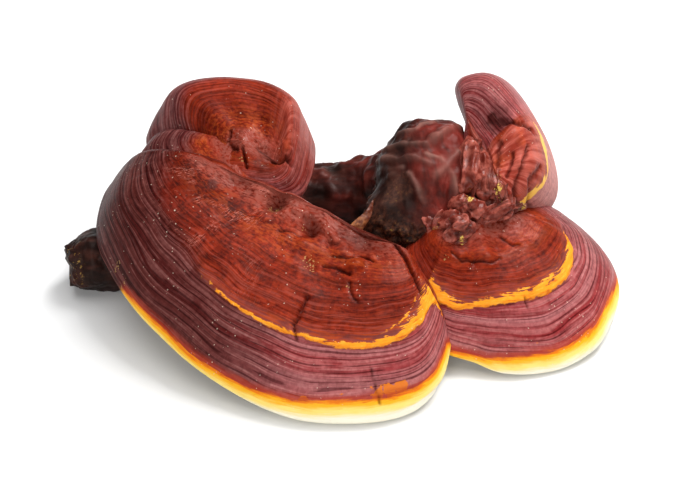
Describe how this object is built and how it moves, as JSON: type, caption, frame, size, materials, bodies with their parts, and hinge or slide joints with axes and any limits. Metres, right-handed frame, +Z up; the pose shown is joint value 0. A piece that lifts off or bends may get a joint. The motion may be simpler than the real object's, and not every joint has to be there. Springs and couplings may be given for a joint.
{
  "type": "reishi mushroom",
  "caption": "Lacquered reishi mushroom lying as picked: a knobbly dark stem that ends in a swollen knob, with domed, ringed caps fused round it.",
  "frame": {"origin": "centre of the bounding box's base, on the surface that the mushroom lies on", "axes": "+X along the longest side, from the broken stem end towards the right cap; +Y away from the viewer of the picture; +Z up"},
  "size_m": [0.2249, 0.1523, 0.0791],
  "materials": {
    "cap": "lacquered, red to purple-brown in growth rings, with an orange to cream margin",
    "stem": "lacquered, near-black brown"
  },
  "bodies": {
    "root": {"stem": "stem", "front_cap": "cap", "right_cap": "cap", "back_left_cap": "cap", "back_right_cap": "cap"}
  },
  "joints": []
}
